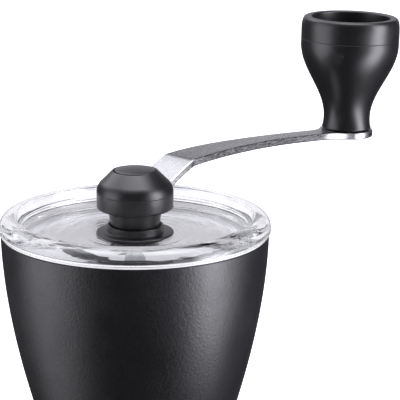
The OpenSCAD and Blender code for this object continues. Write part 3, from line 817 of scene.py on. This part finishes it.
spring = grow("burr_coil", climbingBar, {
    "Radius": 7.4 * mm, "Rise": high("burr_spring").z - low("burr_spring").z - 1.1 * mm, "Turns": 3.5,
    "Start Height": low("burr_spring").z + 0.55 * mm, "Bar Width": 1.1 * mm, "Bar Height": 1.1 * mm,
    "Sides": 12, "Steps": 140}, "spring_steel")
finishPiece(spring, "spring_steel", "burr", ("burr_spring",))

nutSettings = {"radius": 7.3, "ribs": 36, "rib": 0.3, "ribHeight": 2.2, "ribMiddle": 59.7}
grip = grow("nut_ribs", ribRing, {
    "Radius": nutSettings["radius"] * mm, "Count": nutSettings["ribs"],
    "Rib Radius": nutSettings["rib"] * mm, "Rib Height": nutSettings["ribHeight"] * mm,
    "Start Height": nutSettings["ribMiddle"] * mm}, "nut_black")
finishPiece(grip, "nut_black", "nut")
print("small parts made")


# Carried-over parts

slotOf = {part["node"]: part["material_slot"] for part in frame["record"]["subparts"]}
for name, node in frame["nodes"].items():
    node.data.materials.clear()
    node.data.materials.append(mats[slotOf[name]])
print("carried-over parts finished")


# Floor, world and lights

stageSettings = {
    "floor": (0.9, 0.9, 0.905),
    "tint": (0.93, 0.93, 1.0, 1.0),
    "backdrop": 1.12,      # the white that the camera sees far away
    # The floor's glow near the object is dimmed, a painted shade round its foot
    "paintedShadeUnderfoot": 0.25,     # and right under the object
    "spread": (0.04, 0.34),
    "fill": 0.54,          # daylight on dull surfaces
    "dim": 0.012,          # what polished surfaces see where no card stands
    "top": 6.4,            # and overhead
    "behind": 0.7,
    "window": 3.6,         # a high pane behind and to the left
    "windowToward": (0.0, 0.68, 0.73),
    "aim": 0.12,           # height that the soft boxes point at
}

# White cards round the object: degrees to the right of the camera, half width, softness, strength,
# and how far from the object their foot starts and is full, in metres
cards = [(67, 8, 15, 11.4, 0.16, 0.37), (-76, 13, 22, 3.3, 0.03, 0.4)]


# Brightness of the cards in a direction, at a distance from the object
def makeCards():
    group, t, g, out = newGroup("whiteCards", [("Vector", vectorSocket, None), ("Away", floatSocket, 1.0)],
                                [("Light", floatSocket)])
    a = math.radians(cameraSettings["beside"])
    front = t.add("ShaderNodeVectorMath", {0: g["Vector"], 1: (-math.sin(a), -math.cos(a), 0)},
                  operation="DOT_PRODUCT").outputs["Value"]
    right = t.add("ShaderNodeVectorMath", {0: g["Vector"], 1: (math.cos(a), -math.sin(a), 0)},
                  operation="DOT_PRODUCT").outputs["Value"]
    flatness = t.math("SQRT", t.math("ADD", t.math("MULTIPLY", front, front),
                                     t.math("MULTIPLY", right, right)))
    flatness = t.math("MAXIMUM", flatness, 0.0001)
    total = 0.0
    for angle, half, soft, strength, start, full in cards:
        turn = math.radians(angle)
        toward = t.math("ADD", t.math("MULTIPLY", front, math.cos(turn)),
                        t.math("MULTIPLY", right, math.sin(turn)))
        off = t.math("ARCCOSINE", t.math("MINIMUM", t.math("DIVIDE", toward, flatness), 1.0))
        glow = t.add("ShaderNodeMapRange", {"Value": off, "From Min": math.radians(half + soft),
                                            "From Max": math.radians(half), "To Min": 0.0,
                                            "To Max": strength},
                     interpolation_type="SMOOTHSTEP").outputs[0]
        foot = t.ramp(g["Away"], start, full, 0.0, 1.0)
        total = t.math("ADD", t.math("MULTIPLY", glow, foot), total)
    t.tree.links.new(total, out.inputs["Light"])
    return group


cardGroup = makeCards()


# Pale near the object, where the floor's glow is dimmed into a painted shade round its foot under the real
# soft shadows, plain white farther off; polished parts mirror the cards in it
def makeFloor(s):
    bpy.ops.mesh.primitive_circle_add(vertices=96, radius=12, fill_type="NGON")
    floor = bpy.context.object
    floor.name = "floor"
    material, t = startMaterial("paleFloor", Roughness=0.8, Specular_IOR_Level=0.2)
    away = t.add("ShaderNodeVectorMath", {0: t.coords}, operation="LENGTH").outputs["Value"]
    paths = t.add("ShaderNodeLightPath").outputs
    mirrored = paths["Is Glossy Ray"]
    # Painted reflection: polished parts see the floor dark except where the cards glow
    t.tree.links.new(mixColour(t, mirrored, s["floor"], (s["dim"], s["dim"], s["dim"])),
                     t.shader.inputs["Base Color"])
    seen = t.math("MAXIMUM", paths["Is Camera Ray"], paths["Is Transmission Ray"])
    # Painted shade: the glow the camera sees fades towards the object
    spread = t.add("ShaderNodeMapRange", {"Value": away, "From Min": s["spread"][0],
                                          "From Max": s["spread"][1], "To Min": s["paintedShadeUnderfoot"],
                                          "To Max": s["backdrop"]},
                   interpolation_type="SMOOTHSTEP").outputs[0]
    white = t.math("MULTIPLY", spread, seen)
    light = placeGroup(t, cardGroup, {"Vector": t.coords, "Away": away})["Light"]
    card = t.math("MULTIPLY", light, mirrored)
    t.shader.inputs["Emission Color"].default_value = s["tint"]
    t.tree.links.new(t.math("ADD", white, card), t.shader.inputs["Emission Strength"])
    material.cycles.emission_sampling = "NONE"
    floor.data.materials.append(material)


makeFloor(stageSettings)


# Plain daylight for dull surfaces; cards, a soft top and a dim room for polished ones
def makeWorld(s):
    world = bpy.data.worlds.new("studio")
    bpy.context.scene.world = world
    world.cycles.sampling_method = "NONE"
    world.use_nodes = True
    t = Tree(world.node_tree)
    back = world.node_tree.nodes["Background"]
    back.inputs["Color"].default_value = s["tint"]
    direction = t.add("ShaderNodeTexCoord").outputs["Generated"]
    height = t.add("ShaderNodeSeparateXYZ", {0: direction}).outputs[2]
    a = math.radians(cameraSettings["beside"])
    behind = t.add("ShaderNodeVectorMath", {0: direction, 1: (math.sin(a), math.cos(a), 0)},
                   operation="DOT_PRODUCT").outputs["Value"]
    light = placeGroup(t, cardGroup, {"Vector": direction})["Light"]
    light = t.math("MULTIPLY", light, t.ramp(height, 0.25, 0.6, 1.0, 0.25))
    top = t.ramp(height, 0.81, 1.0, 0.0, s["top"])
    rear = t.ramp(behind, 0.74, 0.95, 0.0, s["behind"])
    pane = t.add("ShaderNodeVectorMath", {0: direction, 1: s["windowToward"]},
                 operation="DOT_PRODUCT").outputs["Value"]
    pane = t.ramp(pane, 0.86, 0.96, 0.0, s["window"])
    room = t.math("MAXIMUM", t.math("MAXIMUM", top, rear), t.math("MAXIMUM", pane, s["dim"]))
    glossy = t.math("ADD", room, light)
    paths = t.add("ShaderNodeLightPath").outputs
    level = t.add("ShaderNodeMix", {0: paths["Is Glossy Ray"], 2: s["fill"], 3: glossy}).outputs[0]
    # Through clear parts the skyline is bright and the room overhead is dark
    through = t.ramp(height, 0.02, 0.3, 1.1, 0.05)
    level = t.add("ShaderNodeMix", {0: paths["Is Transmission Ray"], 2: level, 3: through}).outputs[0]
    level = t.add("ShaderNodeMix", {0: paths["Is Camera Ray"], 2: level, 3: s["backdrop"]}).outputs[0]
    t.tree.links.new(level, back.inputs["Strength"])


makeWorld(stageSettings)


# azimuth is measured from the camera's side, to the right
def addSoftbox(name, azimuth, height, distance, size, power):
    data = bpy.data.lights.new(name, "AREA")
    data.shape = "RECTANGLE"
    data.size, data.size_y = size
    data.energy = power
    light = bpy.data.objects.new(name, data)
    bpy.context.collection.objects.link(light)
    a = math.radians(azimuth - cameraSettings["beside"])
    target = Vector((0, 0, stageSettings["aim"]))
    light.location = Vector((math.sin(a) * distance, -math.cos(a) * distance, height))
    light.rotation_mode = "QUATERNION"
    light.rotation_quaternion = (target - light.location).to_track_quat("-Z", "Y")
    light.visible_camera = False
    light.visible_glossy = False


addSoftbox("rightBox", 74, 0.5, 0.9, (0.4, 0.7), 3.0)
addSoftbox("leftBox", -84, 0.5, 0.9, (0.4, 0.7), 1.5)
addSoftbox("topBox", 150, 1.1, 0.5, (0.8, 0.7), 4.0)
bpy.context.scene.view_settings.view_transform = "Standard"

# Light that runs along inside the clear lid needs many turns to come out
tracing = bpy.context.scene.cycles
tracing.max_bounces, tracing.glossy_bounces, tracing.transmission_bounces = 28, 24, 24
print("stage and lights made")
